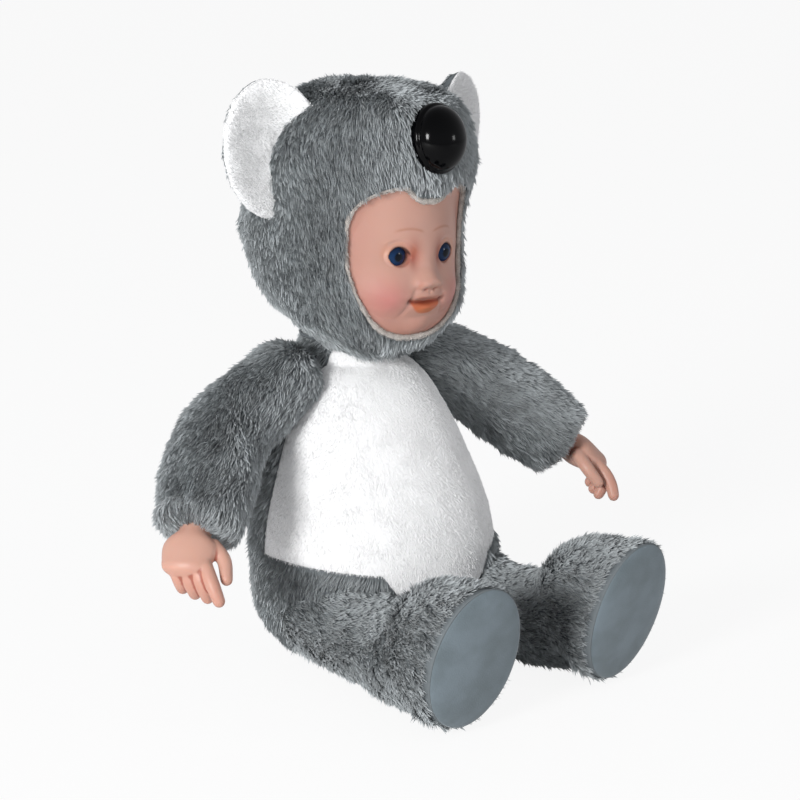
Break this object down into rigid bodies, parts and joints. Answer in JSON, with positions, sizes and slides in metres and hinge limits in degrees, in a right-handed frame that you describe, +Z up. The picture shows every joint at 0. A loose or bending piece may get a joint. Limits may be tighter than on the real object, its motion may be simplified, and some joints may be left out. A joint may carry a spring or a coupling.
{
  "type": "baby doll",
  "caption": "Seated soft-bodied baby doll in a hooded plush animal suit, with a vinyl face and vinyl hands, round ears, a black nose and smooth soles.",
  "frame": {"origin": "on the floor, in the middle of the flat seat under the body", "axes": "+Z up; the doll faces -Y; its own left is +X"},
  "size_m": [0.2379, 0.1789, 0.2389],
  "materials": {
    "grey_plush": "grey long-pile plush, about 8 mm, brushed",
    "white_plush": "white short-pile plush",
    "hem": "rolled knit edge of the plush backing",
    "suede": "smooth blue-grey velour",
    "fibre_fill": "polyester fibre fill",
    "pouch_cloth": "woven cotton pouch of plastic beans",
    "thread": "grey sewing thread",
    "skin_vinyl": "soft vinyl, satin, with sprayed blush",
    "eye": "gloss acrylic with a blue iris",
    "nose": "gloss black ABS",
    "washer": "black nylon lock washer",
    "tie": "white nylon cable tie"
  },
  "bodies": {
    "torso": {"back_panel": "grey_plush", "belly_panel": "white_plush", "torso_fill": "fibre_fill", "bean_pouch": "pouch_cloth"},
    "neck": {"neck_stitching": "thread"},
    "head": {"hood": "grey_plush", "face_hem": "hem", "face_mask": "skin_vinyl", "head_fill": "fibre_fill", "left_eye": "eye", "right_eye": "eye", "nose": "nose", "nose_washer": "washer"},
    "left_ear": {"left_ear_front": "white_plush", "left_ear_back": "grey_plush"},
    "right_ear": {"right_ear_front": "white_plush", "right_ear_back": "grey_plush"},
    "left_shoulder": {"left_shoulder_stitching": "thread"},
    "left_arm": {"left_sleeve": "grey_plush", "left_arm_fill": "fibre_fill", "left_wrist_tie": "tie"},
    "left_hand": {"left_hand": "skin_vinyl"},
    "right_shoulder": {"right_shoulder_stitching": "thread"},
    "right_arm": {"right_sleeve": "grey_plush", "right_arm_fill": "fibre_fill", "right_wrist_tie": "tie"},
    "right_hand": {"right_hand": "skin_vinyl"},
    "left_hip": {"left_hip_stitching": "thread"},
    "left_leg": {"left_leg_cover": "grey_plush", "left_sole": "suede", "left_leg_fill": "fibre_fill"},
    "right_hip": {"right_hip_stitching": "thread"},
    "right_leg": {"right_leg_cover": "grey_plush", "right_sole": "suede", "right_leg_fill": "fibre_fill"}
  },
  "joints": [
    {"name": "head_turn", "type": "hinge", "parent": "torso", "child": "neck", "pos_m": [0, 0.002, 0.116], "axis": [0, 0, 1], "range_deg": [-35, 35]},
    {"name": "head_nod", "type": "hinge", "parent": "neck", "child": "head", "pos_m": [0, 0.002, 0.116], "axis": [1, 0, 0], "range_deg": [-8, 5]},
    {"name": "left_arm_swing", "type": "hinge", "parent": "torso", "child": "left_shoulder", "pos_m": [0.039, -0.002, 0.113], "axis": [-1, 0, 0], "range_deg": [-8, 40]},
    {"name": "left_arm_lift", "type": "hinge", "parent": "left_shoulder", "child": "left_arm", "pos_m": [0.039, -0.002, 0.113], "axis": [0, -1, 0], "range_deg": [0, 13]},
    {"name": "left_hand_twist", "type": "hinge", "parent": "left_arm", "child": "left_hand", "pos_m": [0.10003, -0.02708, 0.07074], "axis": [0.6708, -0.4773, -0.5676], "range_deg": [-30, 30]},
    {"name": "right_arm_swing", "type": "hinge", "parent": "torso", "child": "right_shoulder", "pos_m": [-0.039, -0.002, 0.113], "axis": [-1, 0, 0], "range_deg": [-8, 40]},
    {"name": "right_arm_lift", "type": "hinge", "parent": "right_shoulder", "child": "right_arm", "pos_m": [-0.039, -0.002, 0.113], "axis": [0, 1, 0], "range_deg": [0, 13]},
    {"name": "right_hand_twist", "type": "hinge", "parent": "right_arm", "child": "right_hand", "pos_m": [-0.10003, -0.02708, 0.07074], "axis": [-0.6708, -0.4773, -0.5676], "range_deg": [-30, 30]},
    {"name": "left_leg_spread", "type": "hinge", "parent": "torso", "child": "left_hip", "pos_m": [0.028, -0.024, 0.025], "axis": [0, 0, 1], "range_deg": [-1, 9]},
    {"name": "left_leg_raise", "type": "hinge", "parent": "left_hip", "child": "left_leg", "pos_m": [0.028, -0.024, 0.025], "axis": [-1, 0, 0], "range_deg": [-8, 6]},
    {"name": "right_leg_spread", "type": "hinge", "parent": "torso", "child": "right_hip", "pos_m": [-0.028, -0.024, 0.025], "axis": [0, 0, -1], "range_deg": [-1, 9]},
    {"name": "right_leg_raise", "type": "hinge", "parent": "right_hip", "child": "right_leg", "pos_m": [-0.028, -0.024, 0.025], "axis": [-1, 0, 0], "range_deg": [-8, 6]},
    {"name": "left_ear_fold", "type": "hinge", "parent": "head", "child": "left_ear", "pos_m": [0.04665, 0.00542, 0.20185], "axis": [-0.2346, -0.0335, 0.9715], "range_deg": [0, 13], "stiffness_Nm_per_rad": 0.03},
    {"name": "right_ear_fold", "type": "hinge", "parent": "head", "child": "right_ear", "pos_m": [-0.03742, 0.00542, 0.20626], "axis": [-0.3349, 0.0335, -0.9417], "range_deg": [0, 13], "stiffness_Nm_per_rad": 0.03}
  ]
}
